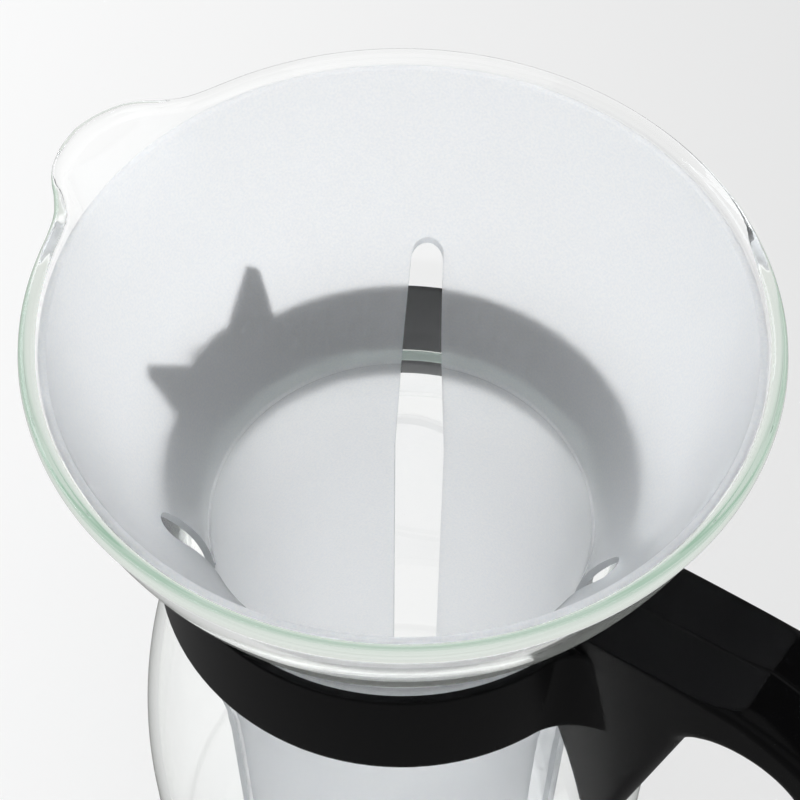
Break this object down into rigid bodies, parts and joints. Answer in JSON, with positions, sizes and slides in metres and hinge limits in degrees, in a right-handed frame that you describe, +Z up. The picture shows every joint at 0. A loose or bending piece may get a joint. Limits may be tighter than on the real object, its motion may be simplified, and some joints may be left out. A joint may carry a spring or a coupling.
{
  "type": "cold brew coffee maker",
  "caption": "Waisted glass cold brew jug with a pouring spout, a slotted frosted ice strainer that lifts out, and a black clamped collar with an open handle.",
  "frame": {"origin": "on the jug's axis at the flat underside that it stands on", "axes": "+Z up along the jug's axis, +X towards the handle, -X towards the spout, +Y to the right of the person pouring"},
  "size_m": [0.195, 0.14, 0.235],
  "materials": {
    "clear_glass": "clear blown borosilicate glass with a green tint at its edges",
    "frosted_plastic": "milky translucent frosted plastic",
    "black_plastic": "satin black plastic",
    "screw_steel": "plain steel",
    "pin_steel": "plain steel"
  },
  "bodies": {
    "server": {"glass_server": "clear_glass", "handle_left": "black_plastic", "handle_right": "black_plastic", "handle_screws": "screw_steel", "hinge_pin": "pin_steel"},
    "strainer": {"ice_strainer": "frosted_plastic"}
  },
  "joints": [
    {"name": "strainer_lift", "type": "slide", "parent": "server", "child": "strainer", "axis": [0, 0, 1], "range_m": [0, 0.22]}
  ]
}
